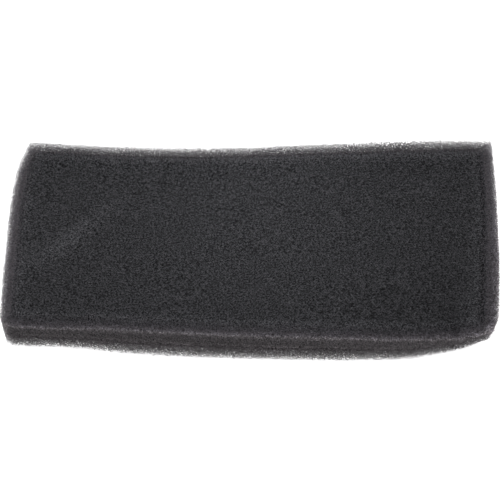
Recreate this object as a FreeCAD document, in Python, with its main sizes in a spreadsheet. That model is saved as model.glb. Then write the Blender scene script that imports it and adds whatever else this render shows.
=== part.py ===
import FreeCAD, Part
import os
import Sketcher

# Flat foam filter element for a small engine's air cleaner, in millimetres.
# One rectangular slab of open-cell polyurethane foam, cut from sheet stock. It lies flat on
# its lower face and fills the tray of the air cleaner by its own spring, with no frame.
# Frame: origin at the centre of the lower face, +X along the length, +Y along the width,
# +Z up through the thickness.

NODE = "foam_pad"

# Driving dimensions: what each one is, and its value.
DIMENSIONS = [
    ("pad_length", 180.0, "along X"),
    ("pad_width", 80.0, "along Y"),
    ("pad_thickness", 15.0, "along Z, the thickness of the foam sheet"),
    ("corner_radius", 2.0, "upright corners, left by the knife that cuts the outline"),
    ("edge_radius", 0.6, "edges round both large faces, where the cut foam gives a little"),
]


def add_sheet(doc):
    """The spreadsheet that holds the driving dimensions, one aliased cell each."""
    sheet = doc.addObject("Spreadsheet::Sheet", "Dimensions")
    for row, (alias, value, meaning) in enumerate(DIMENSIONS, start=1):
        sheet.set(f"A{row}", alias)
        sheet.set(f"B{row}", str(value))
        sheet.set(f"C{row}", meaning)
        sheet.setAlias(f"B{row}", alias)
    return sheet


def origin_plane(body, role):
    """The body's own origin plane with this role, such as XY_Plane."""
    return next(feature for feature in body.Origin.OriginFeatures if feature.Role == role)


def add_outline(body):
    """The slab's outline: a rectangle centred on the origin, seen from above."""
    sketch = body.newObject("Sketcher::SketchObject", "Outline")
    sketch.AttachmentSupport = [(origin_plane(body, "XY_Plane"), "")]
    sketch.MapMode = "FlatFace"
    corners = [
        FreeCAD.Vector(-10, -5, 0),
        FreeCAD.Vector(10, -5, 0),
        FreeCAD.Vector(10, 5, 0),
        FreeCAD.Vector(-10, 5, 0),
    ]
    for start, end in zip(corners, corners[1:] + corners[:1]):
        sketch.addGeometry(Part.LineSegment(start, end), False)
    front, right, back, left = range(4)
    start_point, end_point, sketch_origin = 1, 2, -1
    for side in range(4):
        next_side = (side + 1) % 4
        sketch.addConstraint(
            Sketcher.Constraint("Coincident", side, end_point, next_side, start_point)
        )
    sketch.addConstraint(Sketcher.Constraint("Horizontal", front))
    sketch.addConstraint(Sketcher.Constraint("Horizontal", back))
    sketch.addConstraint(Sketcher.Constraint("Vertical", right))
    sketch.addConstraint(Sketcher.Constraint("Vertical", left))
    centred = Sketcher.Constraint(
        "Symmetric", front, start_point, back, start_point, sketch_origin, 1
    )
    sketch.addConstraint(centred)
    length = sketch.addConstraint(
        Sketcher.Constraint("DistanceX", front, start_point, front, end_point, 20.0)
    )
    sketch.renameConstraint(length, "length")
    width = sketch.addConstraint(
        Sketcher.Constraint("DistanceY", right, start_point, right, end_point, 10.0)
    )
    sketch.renameConstraint(width, "width")
    sketch.setExpression("Constraints.length", "Dimensions.pad_length")
    sketch.setExpression("Constraints.width", "Dimensions.pad_width")
    return sketch


def is_upright(edge):
    """True for an edge that runs straight along Z."""
    box = edge.BoundBox
    return box.XLength < 1e-6 and box.YLength < 1e-6


def lies_flat(edge):
    """True for an edge that lies in one level plane."""
    return edge.BoundBox.ZLength < 1e-6


def edge_names(shape, wanted):
    """The names of the shape's edges that satisfy wanted."""
    return [f"Edge{i}" for i, edge in enumerate(shape.Edges, start=1) if wanted(edge)]


def add_fillet(doc, body, name, base, wanted, radius_alias):
    """Round the edges of base that satisfy wanted, to the radius in the named cell."""
    fillet = body.newObject("PartDesign::Fillet", name)
    fillet.Base = (base, edge_names(base.Shape, wanted))
    fillet.setExpression("Radius", f"Dimensions.{radius_alias}")
    doc.recompute()
    return fillet


def add_foam_pad(doc):
    """The foam slab: outline, thickness, upright corners, then the rims of both faces."""
    body = doc.addObject("PartDesign::Body", NODE)
    body.Label = NODE
    slab = body.newObject("PartDesign::Pad", "Slab")
    slab.Profile = add_outline(body)
    slab.setExpression("Length", "Dimensions.pad_thickness")
    doc.recompute()
    corners = add_fillet(doc, body, "Corners", slab, is_upright, "corner_radius")
    rims = add_fillet(doc, body, "Rims", corners, lies_flat, "edge_radius")
    body.Tip = rims
    body.Placement = FreeCAD.Placement()
    return body


def stop_on_failure(doc, parts):
    """Stop if a feature failed to build or a sub-part has no valid closed solid."""
    for item in doc.Objects:
        bad = {"Invalid", "Error"} & set(item.State)
        if bad:
            raise RuntimeError(f"{item.Name}: {sorted(bad)}")
    for part in parts:
        if part.Shape.isNull() or not part.Shape.isValid() or len(part.Shape.Solids) != 1:
            raise RuntimeError(f"{part.Label}: not one valid solid")


def main():
    doc = FreeCAD.newDocument("foam_filter_pad")
    add_sheet(doc)
    doc.recompute()
    parts = [add_foam_pad(doc)]
    doc.recompute()
    stop_on_failure(doc, parts)
    os.makedirs("parts", exist_ok=True)
    for part in parts:
        part.Shape.exportStep(f"parts/{part.Label}.step")
        box = part.Shape.optimalBoundingBox()
        print(f"{part.Label}: {box.XLength:.2f} x {box.YLength:.2f} x {box.ZLength:.2f} mm,"
              f" {part.Shape.Volume / 1000:.2f} cm3, {len(part.Shape.Faces)} faces")


main()
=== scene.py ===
import math

import bpy
import numpy as np
from mathutils import Euler, Matrix, Vector, geometry


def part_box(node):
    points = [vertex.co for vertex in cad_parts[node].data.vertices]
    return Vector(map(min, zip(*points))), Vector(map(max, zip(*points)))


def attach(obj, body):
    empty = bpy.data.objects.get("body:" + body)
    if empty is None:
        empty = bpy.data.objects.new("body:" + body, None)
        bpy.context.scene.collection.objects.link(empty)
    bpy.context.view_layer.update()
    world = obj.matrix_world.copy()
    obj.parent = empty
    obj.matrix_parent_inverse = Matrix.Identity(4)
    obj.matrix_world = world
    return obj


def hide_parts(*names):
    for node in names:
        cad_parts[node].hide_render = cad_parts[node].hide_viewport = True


# A flat foam filter pad: an open-cell slab whose cut faces show every cell, with a fringe of
# free struts along its edges. All shapes are worked out in millimetres on a straight slab
# round its own centre, then bent as the real pad lies, and written to the meshes in metres.
# On the slab, u runs along the length and v across it, both from -1 to 1: the right end is
# u = 1, the front side v = -1 and the rear side v = 1.

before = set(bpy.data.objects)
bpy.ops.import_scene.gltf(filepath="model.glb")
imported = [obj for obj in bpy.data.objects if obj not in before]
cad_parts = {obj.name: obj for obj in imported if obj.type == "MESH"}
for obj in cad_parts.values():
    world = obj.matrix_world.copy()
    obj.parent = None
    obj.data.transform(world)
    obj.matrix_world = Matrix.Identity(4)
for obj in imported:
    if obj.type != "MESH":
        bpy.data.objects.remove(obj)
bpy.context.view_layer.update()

MM = 0.001
NODE = "foam_pad"

node_low, node_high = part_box(NODE)
LENGTH, WIDTH, THICKNESS = [(b - a) / MM for a, b in zip(node_low, node_high)]
HALF = np.array([LENGTH, WIDTH, THICKNESS]) / 2

# Cells cut open on the six faces
CELL = np.array([0.88, 0.66, 0.66])  # their spacing
CELL_JITTER = 0.30  # how far a cell strays from an even spacing, as a share of it
EDGE_JITTER = 0.25  # the same for the cells along the slab's edges
EDGE_CLEAR = 0.55  # the other cells stay clear of the edges by this share of the spacing
PIT_DEPTH = 0.35
PIT_SPREAD = (0.6, 1.25)  # the shallowest and the deepest pit, as shares of that depth
RIM_ROUGHNESS = 0.06  # how uneven the cut struts between the pits stand
TONE_SPREAD = 0.4  # how unevenly light the cells are

# Free struts stand along the cut edges, where light passes through the foam. The dense body
# stays back from the four sides by SET_BACK and is rounded by EDGE_ROUND behind them.
SET_BACK = 1.1
EDGE_ROUND = 5.6
BODY = HALF - np.array([SET_BACK, SET_BACK, 0.0])
BODY_RAGGED = 1.8  # cells of the body behind the struts stand back by up to this much
FRINGE = 6.3  # how far the fringe reaches in from the edges: just short of both together
LATTICE = 1.25  # edge of the lattice's cube, which holds two foam cells
LATTICE_JITTER = 0.26
LATTICE_TURN = (0.5, 0.35, 0.6)
LATTICE_MARGIN = 1.5 * LATTICE  # cubes whose centre is further out than this are left out
STRUT_SINK = 0.1  # struts start this far inside the body
STRUT_RADIUS = 0.061
STRUT_SPREAD = (0.8, 1.2)  # the thinnest and the thickest strut, as shares of that radius
SHORTEST_STRUT = 0.04
STRAY = np.array([0.25, 0.6, 0.6])  # how far strut ends stand out of each face
STRUT_PIECES = 8
# Struts are missing, thin and dark, or thick and light together, in clumps of one size. Each
# pair is the factor in the thinnest clump, and how much more it is in the thickest.
CLUMP = 0.60
CLUMPS_MISSING = 0.06
CLUMP_RADIUS = (0.78, 0.44)
CLUMP_TONE = (0.82, 0.36)
STRUT_TONE_SPREAD = 0.12
END_THINNING = 0.7  # radius of struts at the very tips of both ends, as a share of the others
END_REACH = 1.8
DEEP_PAINTED_SHADE = 0.65  # painted shade: the tone of struts deep in the foam, as a share of those at the sides

# How the pad lies
TAPER = 0.03  # the right end is this much wider than the middle, the left end narrower
BOW = 2.4  # both ends lie this much further back than the middle
BOW_CENTRE = 0.4  # the share of the bow that keeps the bowed pad centred
TWIST = 2.5
SETTLE = 0.15  # the pad settles by this much under its own weight
RIGHT_CORNER_LIFT = 10.0
LEFT_CORNER_LIFT = 3.0
RIGHT_UNDERCUT = 5.3
RIGHT_TUCK = 3.7  # how far the foot of the right end lies in under the top's edge
RIGHT_SHORTENING = 0.4
LEFT_UNDERCUT = 1.2
LEFT_BULGE = 2.2
RIGHT_BULGE = 1.7
REAR_ARCH = 1.6
REAR_MARGIN = 1.0
REAR_SHIFT = 0.8  # both rear corners lie this much further to the right
REAR_WAVE = 0.8
WAVE_RATE = 3.45  # radians of the wave in half the length
WAVE_START = -0.05
CORNER_REACH = 5.0  # the two front corners are worn round over this length
CORNER_CUT = 1.1
# How far each edge of the top strays from those broad curves, at even steps from left to right
# or from front to rear; positive is to the rear or to the right
REAR_LINE = [0.5, 1.25, 1.4, 1.2, 0.9, 0.3, 0.0, 0.1, 0.9, 1.0, 0.3]
FRONT_LINE = [-1.2, -0.6, 0.7, 1.0, 1.1, 1.1, 1.15, 0.8, 0.2, 0.6, -1.0]
LEFT_LINE = [-1.0, -0.3, -0.3, -0.15, -0.3, -0.6, -0.75, -0.45, 0.6]
RIGHT_LINE = [0.5, 0.75, 0.8, 0.75, 0.55, 0.75, 1.1, 1.3, 0.95]
# How far the foot of the front side stands out from under the top's edge
FRONT_SPLAY = [-0.3, 0.1, 1.3, 1.55, 1.75, 1.65, 1.7, 1.2, 0.3, 1.3, 0.05]

# A soft diagonal fold in the left part of the top
FOLD_START = np.array([-81.0, -14.5])
FOLD_END = np.array([-52.0, 16.5])
FOLD_HEIGHT = 1.1
FOLD_WIDTH = (4.96, 2.48)  # at its start and at its end
FOLD_CURVE = 5.5
FOLD_HOOK = 2.0  # how far its start hooks back
FOLD_MIDDLE = 0.42  # where it is highest, as a share of its length
FOLD_REACH = 0.48

# Painted light and shade on the front side: how much lighter it is painted than the rest, from left
# to right, since its right part leans up into the light, and from its foot up to the top's edge
FRONT_PAINTED_LIGHT_ALONG = [-0.12, -0.04, -0.02, -0.02, -0.01, 0.0, 0.02, 0.04, 0.08, 0.2, 0.32]
FRONT_PAINTED_LIGHT_UP = [0.0, 0.0, 0.0, 0.05, 0.16, -0.05, -0.09, 0.13, 0.13, 0.05, 0.0]
TIP_PAINTED_LIGHT = 0.22  # painted light: how much lighter the tip of the right end is painted, for light soaking through it
REAR_PAINTED_LIGHT = 0.2  # and painted light on a band inside the rear edge
LEFT_PAINTED_LIGHT, RIGHT_PAINTED_LIGHT = 0.25, 0.3  # and painted light on the bands that the fringe shades at both ends

# Painted light, where light soaks through the open cells along the edges: how strong it is, how
# far it reaches along each axis and how suddenly it ends, then how much of it the sides' foot gets
BODY_PAINTED_LIGHT = (1.3, (2.1, 3.7, 3.7), 2.1, 0.38)
STRUT_PAINTED_LIGHT = (1.25, (1.35, 0.7, 0.7), 1.0, 0.1)

# Colours of the cut cells and the struts, on the two large faces and on the four sides
CELL_COLOURS = (0.0355, 0.0355, 0.0385, 1), (0.056, 0.051, 0.0535, 1)
STRUT_COLOURS = (0.088, 0.082, 0.092, 1), (0.099, 0.091, 0.096, 1)
# painted shade: the bottoms of the cut cells' pits are painted near black, for the shade deep in the
# open cells
PAINTED_PIT_SHADE = (0.004, 0.004, 0.0043, 1)
# painted light: how strongly the light at the edges brightens the colour
PAINTED_LIGHT_GAIN = 2.2
FOLD_PAINTED_LIGHT = 0.52  # painted light: the fold's crest is painted this much lighter, a painted highlight
PATCH_SCALE = 28.0
SPECK_SCALE = 1900.0
GRAIN_SCALE = 9000.0


def ramp(t, start, end):
    """0 at start, 1 at end, with a smooth rise between, and level beyond both."""
    t = np.clip((t - start) / (end - start), 0.0, 1.0)
    return t * t * (3.0 - 2.0 * t)


def bump(t, centre, width):
    """A bell of height 1 round its centre."""
    return np.exp(-(((t - centre) / width) ** 2))


def read_line(t, values):
    """The value at t, from -1 to 1, of a line through evenly spaced values."""
    return np.interp(t, np.linspace(-1, 1, len(values)), values)


# ---------------------------------------------------------------- how the pad lies


def lift(u, v):
    """Height of the underside above the floor."""
    z = TWIST * u * v
    z = z + RIGHT_CORNER_LIFT * ramp(u, 0.75, 1.05) * ramp(v, 0.6, -1.0)
    z = z + LEFT_CORNER_LIFT * ramp(u, -0.5, -1.0) * ramp(v, -0.2, 1.0)
    z = z + REAR_ARCH * bump(u, 0.22, 0.38) * ramp(v, -0.6, 1.0)
    never_below = 0.5 * (z + np.sqrt(z * z + 1.0))
    return never_below - SETTLE


def mid_surface(u, v):
    """The bent slab's middle surface."""
    left, right = np.maximum(-u, 0), np.maximum(u, 0)
    front, rear = np.maximum(-v, 0), np.maximum(v, 0)
    bulge = np.where(u < 0, LEFT_BULGE, RIGHT_BULGE)
    x = (HALF[0] - bulge) * u + bulge * np.sign(u) * np.abs(u) ** 3 * (1 - v * v)
    x = x + REAR_SHIFT * ramp(v, 0.7, 1.0) * ramp(np.abs(u), 0.0, 1.0)
    x = x - RIGHT_SHORTENING * ramp(u, 0.8, 1.0)
    x = x + read_line(v, LEFT_LINE) * left ** 3 + read_line(v, RIGHT_LINE) * right ** 3
    y = HALF[1] * (1 + TAPER * u) * v + BOW * (u * u - BOW_CENTRE)
    y = y + (REAR_WAVE * np.sin(WAVE_RATE * (u - WAVE_START)) + REAR_MARGIN) * rear ** 2
    y = y + read_line(u, REAR_LINE) * rear ** 2 + read_line(u, FRONT_LINE) * front ** 2
    corner = ramp(np.abs(u) * HALF[0], HALF[0] - CORNER_REACH, HALF[0])
    corner = corner * ramp(-v * HALF[1], HALF[1] - CORNER_REACH, HALF[1])
    x = x - np.sign(u) * CORNER_CUT * corner
    y = y + CORNER_CUT * corner
    z = HALF[2] + lift(u, v)
    return np.stack([x, y, z], axis=-1)


def fold(points):
    """How much of the diagonal fold there is at each point, 0 to 1."""
    along = FOLD_END - FOLD_START
    place = points[:, :2] - FOLD_START
    t = place @ along / (along @ along)
    across = (place[:, 0] * along[1] - place[:, 1] * along[0]) / math.sqrt(along @ along)
    width = np.interp(t, (0, 1), FOLD_WIDTH)
    centre = FOLD_CURVE * t * (1 - t) - FOLD_HOOK * (1 - np.clip(t, 0, 1)) ** 8
    return bump(across, centre, width) * bump(t, FOLD_MIDDLE, FOLD_REACH)


def bend(points):
    """Takes points of the straight slab to where they lie."""
    u, v = points[:, 0] / HALF[0], points[:, 1] / HALF[1]
    step = 1e-3
    here = mid_surface(u, v)
    along = (mid_surface(u + step, v) - here) / step
    across = (mid_surface(u, v + step) - here) / step
    normal = np.cross(along, across)
    normal /= np.linalg.norm(normal, axis=1, keepdims=True)
    placed = here + normal * points[:, 2:3]
    above = 0.5 + points[:, 2] / THICKNESS
    under = RIGHT_UNDERCUT * ramp(u, 0.55, 1.0) + LEFT_UNDERCUT * bump(u, -0.75, 0.2)
    under -= read_line(u, FRONT_SPLAY)
    placed[:, 1] += under * ramp(v, 0.0, -1.0) * (1 - above)
    placed[:, 0] -= RIGHT_TUCK * ramp(u, 0.6, 1.0) * ramp(v, 0.15, -0.9) * (1 - above)
    placed[:, 2] += FOLD_HEIGHT * fold(points) * above
    placed[:, 2] = np.maximum(placed[:, 2], 0.0)
    return placed


# ---------------------------------------------------------------- cells on the cut faces


def rounded(points):
    """Pulls points of the slab's skin onto the rounded body; returns them and their normals."""
    points = points * BODY / HALF
    inner = np.clip(points, EDGE_ROUND - BODY, BODY - EDGE_ROUND)
    normal = points - inner
    normal /= np.maximum(np.linalg.norm(normal, axis=1, keepdims=True), 1e-9)
    return inner + EDGE_ROUND * normal, normal


def edge_seeds(rng):
    """Cell centres along the slab's twelve edges, with its eight corners."""
    corners = [np.array([x, y, z]) * HALF for x in (-1, 1) for y in (-1, 1) for z in (-1, 1)]
    seeds = list(corners)
    for axis in range(3):
        count = int(round(2 * HALF[axis] / CELL[axis]))
        for side_a in (-1, 1):
            for side_b in (-1, 1):
                along = np.arange(1, count) + rng.uniform(-EDGE_JITTER, EDGE_JITTER, count - 1)
                line = np.empty((count - 1, 3))
                line[:, axis] = along / count * 2 * HALF[axis] - HALF[axis]
                line[:, (axis + 1) % 3] = side_a * HALF[(axis + 1) % 3]
                line[:, (axis + 2) % 3] = side_b * HALF[(axis + 2) % 3]
                seeds.extend(line)
    return np.array(seeds)


def face_seeds(a, b, rng):
    """Cell centres inside the face along axes a and b, on a shaken triangular grid."""
    spacing = CELL[[a, b]]
    half = HALF[[a, b]]
    row = spacing[1] * math.sqrt(3) / 2
    columns, rows = int(2 * half[0] / spacing[0]), int(2 * half[1] / row)
    grid_a, grid_b = np.meshgrid(np.arange(columns + 1), np.arange(rows + 1))
    points = np.stack([(grid_a + 0.5 * (grid_b % 2)).ravel() * spacing[0], grid_b.ravel() * row], 1)
    points += rng.uniform(-CELL_JITTER, CELL_JITTER, points.shape) * spacing
    points -= points.mean(axis=0)
    return points[(np.abs(points) < half - EDGE_CLEAR * spacing).all(axis=1)]


def triangulated_skin(rng):
    """Cell centres all over the slab's skin, joined into one closed net of triangles."""
    seeds = edge_seeds(rng)
    points, triangles, faces = [seeds], [], []
    total = len(seeds)
    for axis in range(3):
        a, b = (axis + 1) % 3, (axis + 2) % 3
        for side in (-1, 1):
            border = np.nonzero(np.abs(seeds[:, axis] - side * HALF[axis]) < 1e-6)[0]
            inner = face_seeds(a, b, rng)
            flat = np.concatenate([seeds[border][:, [a, b]], inner])
            index = np.concatenate([border, total + np.arange(len(inner))])
            placed = np.empty((len(inner), 3))
            placed[:, axis], placed[:, a], placed[:, b] = side * HALF[axis], inner[:, 0], inner[:, 1]
            points.append(placed)
            total += len(inner)
            _, _, found, origin, _, _ = geometry.delaunay_2d_cdt(
                [Vector(p) for p in flat / CELL[[a, b]]], [], [], 0, 1e-7
            )
            net = index[np.array([[origin[k][0] for k in f] for f in found])]
            triangles.append(net if side > 0 else net[:, ::-1])
            faces.append(np.full(len(net), 2 * axis + (side > 0)))
    return np.concatenate(points), np.concatenate(triangles), np.concatenate(faces)


def hidden(points):
    """How far back cells near the slab's edges may stand, behind the free struts."""
    gap = np.sort(HALF - np.abs(points), axis=1)[:, 1]
    return BODY_RAGGED * ramp(gap, EDGE_ROUND - 1.0, EDGE_ROUND - 4.0)


def cells(rng):
    """The pad's body: each cell a pit, each wall between two cells a ridge of cut struts."""
    seeds, net, net_face = triangulated_skin(rng)
    knots = seeds[net].mean(axis=1)
    knots = np.clip(knots, -HALF, HALF)
    # the two triangles on each side of every line of the net
    start, end = net[:, [0, 1, 2]].ravel(), net[:, [1, 2, 0]].ravel()
    owner = np.repeat(np.arange(len(net)), 3)
    key, twin = start * len(seeds) + end, end * len(seeds) + start
    order = np.argsort(key)
    other = owner[order[np.searchsorted(key[order], twin)]]
    count = len(seeds)
    triangles = np.stack([start, count + other, count + owner], axis=1)

    seed_place, seed_normal = rounded(seeds)
    knot_place, knot_normal = rounded(knots)
    depth = PIT_DEPTH * rng.uniform(*PIT_SPREAD, count) + hidden(seeds) * rng.uniform(0, 1, count)
    seed_place -= seed_normal * depth[:, None]
    height = rng.normal(0.0, RIM_ROUGHNESS, len(knots))
    height -= hidden(knots) * rng.uniform(0, 1, len(knots))
    knot_place += knot_normal * height[:, None]
    points = np.concatenate([seed_place, knot_place])
    ridge = np.concatenate([np.zeros(count), np.ones(len(knots))])
    tone = 1.0 + rng.uniform(-TONE_SPREAD, TONE_SPREAD, count + len(knots))
    flat = np.concatenate([seeds, knots])
    return points, triangles, net_face[owner], flat, ridge, tone


# ---------------------------------------------------------------- free struts along the edges


def outside_body(points):
    """How far points lie outside the dense rounded body."""
    inner = np.clip(points, EDGE_ROUND - BODY, BODY - EDGE_ROUND)
    return np.linalg.norm(points - inner, axis=-1) - EDGE_ROUND


def strut_lattice(rng):
    """Both ends of the struts of a shaken foam lattice, turned out of line with the slab."""
    base = []
    for axis in range(3):
        for a, b in ((0.25, 0.5), (0.75, 0.5), (0.5, 0.25), (0.5, 0.75)):
            corner = [0.0, 0.0, 0.0]
            corner[(axis + 1) % 3], corner[(axis + 2) % 3] = a, b
            base.append(corner)
    base = np.array(base)
    strut_length = math.sqrt(2) / 4
    turn = np.array(Euler(LATTICE_TURN).to_matrix())
    size = 2 * np.ceil(np.abs(turn.T) @ (HALF + 2 * LATTICE) / LATTICE).astype(int)
    cell = np.indices(size).reshape(3, -1).T
    centre = (cell + 0.5 - size / 2) @ turn.T * LATTICE
    gap = HALF - np.abs(centre)
    near = (gap > -LATTICE_MARGIN).all(axis=1) & (gap[:, :2].min(axis=1) < FRINGE + LATTICE)
    near &= outside_body(centre) > -LATTICE_MARGIN
    cell = cell[near]
    nodes = (cell[:, None] + base - size / 2) @ turn.T * LATTICE
    nodes += rng.uniform(-LATTICE_JITTER, LATTICE_JITTER, nodes.shape) * LATTICE
    index = np.full(size + 2, -1)
    index[tuple(cell.T + 1)] = np.arange(len(cell))
    starts, ends = [], []
    for i in range(12):
        for j in range(12):
            for shift in np.ndindex(3, 3, 3):
                offset = np.array(shift) - 1
                apart = np.linalg.norm(base[j] + offset - base[i])
                if (i, 0, 0, 0) < (j, *(-offset)) and abs(apart - strut_length) < 1e-6:
                    other = index[tuple((cell + offset + 1).T)]
                    starts.append(nodes[other >= 0, i])
                    ends.append(nodes[other[other >= 0], j])
    return np.concatenate(starts), np.concatenate(ends)


def struts(rng):
    """Both ends of every strut in the fringe, and how thick its clump is, 0 to 1."""
    a, b = strut_lattice(rng)
    loose = outside_body((a + b) / 2) > -STRUT_SINK
    a, b = a[loose], b[loose]
    inside_a = (np.abs(a) <= HALF).all(axis=1)
    inside_b = (np.abs(b) <= HALF).all(axis=1)
    some = inside_a | inside_b
    a, b, inside_a = a[some], b[some], inside_a[some]
    swap = ~inside_a
    a[swap], b[swap] = b[swap].copy(), a[swap].copy()
    # cut off what stands too far out of the slab
    limit = HALF + STRAY * rng.uniform(0, 1, (len(a), 1)) ** 2
    over = np.where(np.abs(b) > limit, (np.sign(b) * limit - a) / np.where(b == a, 1, b - a), 1.0)
    b = a + (b - a) * np.clip(over.min(axis=1, keepdims=True), 0.0, 1.0)
    middle = (a + b) / 2
    on_face = np.sort(HALF - np.abs(middle), axis=1)[:, 1] > FRINGE
    room = [int(2 * h / CLUMP) + 3 for h in HALF]
    clump_at = np.floor((middle + HALF) / CLUMP + 1).astype(int)
    clump = rng.uniform(0, 1, room)[clump_at[:, 0], clump_at[:, 1], clump_at[:, 2]]
    keep = ~on_face & (np.linalg.norm(b - a, axis=1) > SHORTEST_STRUT) & (clump > CLUMPS_MISSING)
    return a[keep], b[keep], clump[keep]


def strut_mesh(a, b, clump, rng):
    """A closed three-sided bar for each strut, a little longer than it so that they join."""
    count = len(a)
    along = b - a
    along /= np.linalg.norm(along, axis=1, keepdims=True)
    helper = np.where(np.abs(along[:, 2:3]) < 0.8, [[0.0, 0.0, 1.0]], [[1.0, 0.0, 0.0]])
    side = np.cross(along, helper)
    side /= np.linalg.norm(side, axis=1, keepdims=True)
    up = np.cross(along, side)
    turn = rng.uniform(0, 2 * math.pi, (count, 1))
    radius = STRUT_RADIUS * rng.uniform(*STRUT_SPREAD, (count, 1))
    radius *= CLUMP_RADIUS[0] + CLUMP_RADIUS[1] * clump[:, None]
    from_end = HALF[0] - np.abs(a[:, :1])
    radius *= END_THINNING + (1 - END_THINNING) * ramp(from_end, 0.0, END_REACH)
    rings = []
    for end, out in ((a, -0.3), (b, 0.3)):
        for k in range(3):
            angle = turn + k * 2 * math.pi / 3
            spoke = side * np.cos(angle) + up * np.sin(angle)
            rings.append(end + along * (out * radius) + spoke * radius)
    points = np.stack(rings, axis=1).reshape(-1, 3)
    pattern = []
    for k in range(3):
        n = (k + 1) % 3
        pattern += [[k, n, 3 + n], [k, 3 + n, 3 + k]]
    pattern += [[2, 1, 0], [3, 4, 5]]
    triangles = np.arange(count)[:, None, None] * 6 + np.array(pattern)
    tone = CLUMP_TONE[0] + CLUMP_TONE[1] * clump
    tone = np.repeat(tone + rng.uniform(-STRUT_TONE_SPREAD, STRUT_TONE_SPREAD, count), 6)
    from_side = (HALF - np.abs(points))[:, :2].min(axis=1)
    # painted shade on the struts deeper in from the sides
    tone *= DEEP_PAINTED_SHADE + (1 - DEEP_PAINTED_SHADE) * ramp(from_side, 5.3, 2.3)
    return points, triangles.reshape(-1, 3), tone


# ---------------------------------------------------------------- painted light and shade on the foam


def side_share(points):
    """1 on the four narrow sides, 0 on the two large faces."""
    from_side = (HALF - np.abs(points))[:, :2].min(axis=1)
    from_face = HALF[2] - np.abs(points[:, 2])
    return ramp(from_face - from_side, -0.6, 0.6)


def painted_edge_light(points, strength, reach, power, foot):
    """Painted light, for the light that soaks through the open cells at the edges and the foot of
    the sides.
    """
    gap = np.sort((HALF - np.abs(points)) / reach, axis=1)
    edge = np.exp(-np.maximum(gap[:, 1], 0) ** power)
    lower_side = side_share(points) * ramp(points[:, 2], 1.5, -2.0)
    return strength * edge + foot * lower_side


def painted_light_tone(points):
    """Painted light and shade on the foam at each point of the straight slab, as a factor on its
    colour; 1 is plain foam.
    """
    from_left, from_front = HALF[0] + points[:, 0], HALF[1] + points[:, 1]
    from_right, from_rear = HALF[0] - points[:, 0], HALF[1] - points[:, 1]
    front = ramp(from_front, 4.0, 1.0)
    side = side_share(points)
    along = front * read_line(points[:, 0] / HALF[0], FRONT_PAINTED_LIGHT_ALONG)
    up = side * front * read_line(points[:, 2] / HALF[2], FRONT_PAINTED_LIGHT_UP)
    tip = TIP_PAINTED_LIGHT * ramp(from_right - 2.0 * front, 3.0, -0.2)
    rear = REAR_PAINTED_LIGHT * bump(from_rear, 3.2, 0.8)
    shaded = np.where(
        points[:, 0] < 0,
        LEFT_PAINTED_LIGHT * bump(from_left, 5.2, 1.8),
        RIGHT_PAINTED_LIGHT * bump(from_right, 5.8, 1.8),
    )
    return (1 + along) * (1 + up + tip + rear + shaded * (1 - side))


# ---------------------------------------------------------------- meshes


def make_piece(name, points, triangles, attributes):
    """A mesh object in metres from numpy arrays."""
    mesh = bpy.data.meshes.new(name)
    mesh.vertices.add(len(points))
    mesh.vertices.foreach_set("co", (points * MM).astype(np.float32).ravel())
    mesh.loops.add(3 * len(triangles))
    mesh.loops.foreach_set("vertex_index", triangles.astype(np.int32).ravel())
    mesh.polygons.add(len(triangles))
    mesh.polygons.foreach_set("loop_start", np.arange(0, 3 * len(triangles), 3, dtype=np.int32))
    mesh.update(calc_edges=True)
    mesh.validate()
    for key, values in attributes.items():
        layer = mesh.attributes.new(key, "FLOAT", "POINT")
        layer.data.foreach_set("value", values.astype(np.float32))
    mesh.shade_smooth()
    piece = bpy.data.objects.new(name, mesh)
    bpy.context.scene.collection.objects.link(piece)
    return piece


def add_map(mesh, uv):
    """Gives the mesh a map of its own, named OFBake."""
    layer = mesh.uv_layers.new(name="OFBake")
    layer.data.foreach_set("uv", uv.astype(np.float32).ravel())


def box_map(flat_corners, face_of_triangle):
    """A map that lays the six faces out side by side, all at one scale."""
    gap = 1.5
    tall, flat = WIDTH + gap, THICKNESS + gap
    origin = {
        5: (0, 0),
        4: (0, tall),
        3: (0, 2 * tall),
        2: (0, 2 * tall + flat),
        1: (0, 2 * tall + 2 * flat),
        0: (tall, 2 * tall + 2 * flat),
    }
    scale = 0.995 / (2 * tall + 3 * flat)
    margin = 0.002
    axes = {0: (1, 2), 1: (1, 2), 2: (0, 2), 3: (0, 2), 4: (0, 1), 5: (0, 1)}
    uv = np.zeros((len(face_of_triangle), 3, 2))
    for face, (a, b) in axes.items():
        mine = face_of_triangle == face
        place = flat_corners[mine][:, :, [a, b]] + HALF[[a, b]]
        uv[mine] = (place + np.array(origin[face])) * scale + margin
    return uv


def strut_map(count):
    """A map with a small square of its own for each strut."""
    columns = math.ceil(math.sqrt(count))
    index = np.arange(count)
    corner = np.stack([index % columns, index // columns], axis=1)
    triangle = np.array([[0.1, 0.1], [0.9, 0.1], [0.1, 0.9]])
    return (corner[:, None, None, :] + np.broadcast_to(triangle, (1, 8, 3, 2))) / columns


def build_body(material):
    rng = np.random.default_rng(11)
    points, triangles, face, flat, ridge, tone = cells(rng)
    attributes = {
        "ridge": ridge,
        "tone": tone * painted_light_tone(flat),
        "painted_edge_light": painted_edge_light(flat, *BODY_PAINTED_LIGHT),
        "side": side_share(flat),
        "fold": fold(flat) * (flat[:, 2] > 0),
    }
    piece = make_piece("foam_body", bend(points), triangles, attributes)
    add_map(piece.data, box_map(flat[triangles], face))
    piece.data.materials.append(material)
    return piece


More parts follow.
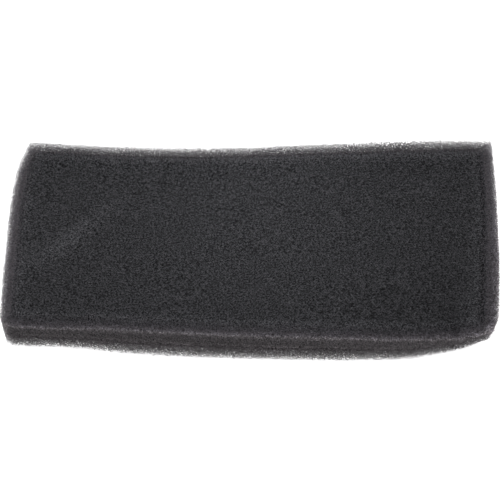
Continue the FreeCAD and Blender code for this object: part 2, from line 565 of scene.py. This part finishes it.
def build_fringe(material):
    rng = np.random.default_rng(23)
    a, b, clump = struts(rng)
    order = np.argsort(a[:, 0])
    pieces = []
    for number, mine in enumerate(np.array_split(order, STRUT_PIECES)):
        points, triangles, tone = strut_mesh(a[mine], b[mine], clump[mine], rng)
        attributes = {
            "tone": tone * painted_light_tone(points),
            "painted_edge_light": painted_edge_light(points, *STRUT_PAINTED_LIGHT),
            "side": side_share(points),
        }
        piece = make_piece(f"foam_struts_{number + 1}", bend(points), triangles, attributes)
        add_map(piece.data, strut_map(len(mine)))
        piece.data.materials.append(material)
        pieces.append(piece)
    return pieces


# ---------------------------------------------------------------- material


def node(tree, kind, inputs, **settings):
    """A shader node with its settings, and its inputs linked or set."""
    made = tree.nodes.new(kind)
    for key, value in settings.items():
        setattr(made, key, value)
    for key, value in inputs.items():
        if isinstance(value, bpy.types.NodeSocket):
            tree.links.new(value, made.inputs[key])
        else:
            made.inputs[key].default_value = value
    return made


def maths(tree, operation, *values):
    made = node(tree, "ShaderNodeMath", dict(enumerate(values)), operation=operation)
    return made.outputs[0]


def mix_colour(tree, factor, a, b):
    made = node(tree, "ShaderNodeMix", {"Factor": factor, 6: a, 7: b}, data_type="RGBA")
    return made.outputs[2]


def scaled_colour(tree, colour, factor):
    made = node(tree, "ShaderNodeVectorMath", {0: colour, "Scale": factor}, operation="SCALE")
    return made.outputs[0]


def noise(tree, place, scale, detail, roughness=0.5):
    inputs = {"Vector": place, "Scale": scale, "Detail": detail, "Roughness": roughness}
    return node(tree, "ShaderNodeTexNoise", inputs).outputs["Fac"]


def read_attribute(tree, key):
    return node(tree, "ShaderNodeAttribute", {}, attribute_name=key).outputs["Fac"]


def patches(tree, place):
    """Broad patches, where the dye took unevenly."""
    return maths(tree, "MULTIPLY_ADD", noise(tree, place, PATCH_SCALE, 3.0), 0.2, 0.9)


def specks(tree, place):
    """Fine light and dark specks, a little longer along the pad than across it."""
    stretched = node(tree, "ShaderNodeMapping", {"Vector": place, "Scale": (0.8, 1.0, 1.0)})
    speck = noise(tree, stretched.outputs[0], SPECK_SCALE, 1.0, 0.6)
    darkest, lightest = 0.1, 1.9
    levels = {0: speck, 1: 0.32, 2: 0.68, 3: darkest, 4: lightest}
    return node(tree, "ShaderNodeMapRange", levels).outputs[0]


def foam_material(name, colours, smoothest, specular, pit_shade):
    """Foam: its colours on the faces and the sides, with painted shade in the pits where it has cut
    cells.
    """
    material = bpy.data.materials.new(name)
    material.use_nodes = True
    tree = material.node_tree
    shader = tree.nodes["Principled BSDF"]
    place = node(tree, "ShaderNodeTexCoord", {}).outputs["Object"]
    colour = mix_colour(tree, read_attribute(tree, "side"), *colours)
    if pit_shade:
        # painted shade down in the pits
        out_of_pit = maths(tree, "POWER", read_attribute(tree, "ridge"), 0.8)
        colour = mix_colour(tree, out_of_pit, PAINTED_PIT_SHADE, colour)
    factor = maths(tree, "MULTIPLY", read_attribute(tree, "tone"), patches(tree, place))
    # painted light at the edges and the sides' foot
    painted_light_factor = maths(tree, "MULTIPLY_ADD", read_attribute(tree, "painted_edge_light"), PAINTED_LIGHT_GAIN, 1.0)
    factor = maths(tree, "MULTIPLY", factor, painted_light_factor)
    # painted highlight along the fold
    fold_lit = maths(tree, "MULTIPLY_ADD", read_attribute(tree, "fold"), FOLD_PAINTED_LIGHT, 1.0)
    factor = maths(tree, "MULTIPLY", factor, fold_lit)
    factor = maths(tree, "MULTIPLY", factor, specks(tree, place))
    tree.links.new(scaled_colour(tree, colour, factor), shader.inputs["Base Color"])

    grain = noise(tree, place, GRAIN_SCALE, 2.0)
    rough = maths(tree, "MULTIPLY_ADD", grain, 0.25, smoothest)
    tree.links.new(rough, shader.inputs["Roughness"])
    relief = node(tree, "ShaderNodeBump", {"Height": grain, "Distance": 0.00005, "Strength": 0.5})
    tree.links.new(relief.outputs["Normal"], shader.inputs["Normal"])
    shader.inputs["Specular IOR Level"].default_value = specular
    return material


# ---------------------------------------------------------------- studio


def build_floor():
    """A pale floor that glows a little, like the top of a light table."""
    reach = 4.0
    mesh = bpy.data.meshes.new("floor")
    corners = [(-reach, -reach, 0), (reach, -reach, 0), (reach, reach, 0), (-reach, reach, 0)]
    mesh.from_pydata(corners, [], [(0, 1, 2, 3)])
    floor = bpy.data.objects.new("floor", mesh)
    pale = bpy.data.materials.new("pale_floor")
    pale.use_nodes = True
    shader = pale.node_tree.nodes["Principled BSDF"]
    shader.inputs["Base Color"].default_value = (0.4, 0.4, 0.4, 1)
    shader.inputs["Roughness"].default_value = 0.9
    shader.inputs["Emission Color"].default_value = (1, 1, 1, 1)
    shader.inputs["Emission Strength"].default_value = 0.95
    mesh.materials.append(pale)
    bpy.context.scene.collection.objects.link(floor)


def build_key(place, size, watts):
    """A soft square light that points at the pad."""
    data = bpy.data.lights.new("key", "AREA")
    data.shape = "SQUARE"
    data.size = size
    data.energy = watts
    lamp = bpy.data.objects.new("key", data)
    lamp.location = place
    lamp.rotation_mode = "QUATERNION"
    lamp.rotation_quaternion = Vector(place).to_track_quat("Z", "Y")
    bpy.context.scene.collection.objects.link(lamp)


def build_spot(name, place, degrees, watts):
    """A soft round light that points straight down."""
    data = bpy.data.lights.new(name, "SPOT")
    data.shadow_soft_size = 0.04
    data.spot_size = math.radians(degrees)
    data.spot_blend = 1.0
    data.energy = watts
    lamp = bpy.data.objects.new(name, data)
    lamp.location = place
    bpy.context.scene.collection.objects.link(lamp)


def build_studio():
    world = bpy.data.worlds.new("white_room")
    world.use_nodes = True
    background = world.node_tree.nodes["Background"]
    background.inputs["Color"].default_value = (1, 1, 1, 1)
    background.inputs["Strength"].default_value = 0.75
    bpy.context.scene.world = world
    build_key((-0.60, 0.16, 0.30), 0.25, 2.4)
    build_spot("left_light", (-0.057, 0.008, 0.90), 12.0, 8.0)
    build_spot("middle_light", (0.015, 0.015, 0.90), 9.2, 16.4)
    build_spot("rear_light", (0.086, 0.047, 0.90), 7.0, 6.4)
    build_floor()
    bpy.context.scene.view_settings.view_transform = "Standard"


def build_camera():
    azimuth, elevation, roll = math.radians(4.17), math.radians(59.4), math.radians(-3.0)
    distance = 0.532
    back = Vector((
        math.sin(azimuth) * math.cos(elevation),
        -math.cos(azimuth) * math.cos(elevation),
        math.sin(elevation),
    ))
    target = Vector((-0.8, 0.0, HALF[2] - SETTLE)) * MM
    right = Vector((0, 0, 1)).cross(back).normalized()
    up = back.cross(right)
    turned_right = right * math.cos(roll) + up * math.sin(roll)
    turned_up = up * math.cos(roll) - right * math.sin(roll)
    data = bpy.data.cameras.new("camera")
    data.sensor_width = 36.0
    data.lens = 103.4
    data.clip_start = 0.01
    camera = bpy.data.objects.new("camera", data)
    camera.location = target + back * distance
    camera.rotation_mode = "QUATERNION"
    camera.rotation_quaternion = Matrix((turned_right, turned_up, back)).transposed().to_quaternion()
    bpy.context.scene.collection.objects.link(camera)
    bpy.context.scene.camera = camera


cell_foam = foam_material("foam_cells", CELL_COLOURS, smoothest=0.62, specular=0.05, pit_shade=True)
body = build_body(cell_foam)
strut_foam = foam_material("foam_struts", STRUT_COLOURS, smoothest=0.32, specular=0.38, pit_shade=False)
fringe = build_fringe(strut_foam)
for piece in [body] + fringe:
    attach(piece, "root")
    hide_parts(NODE)
build_studio()
build_camera()
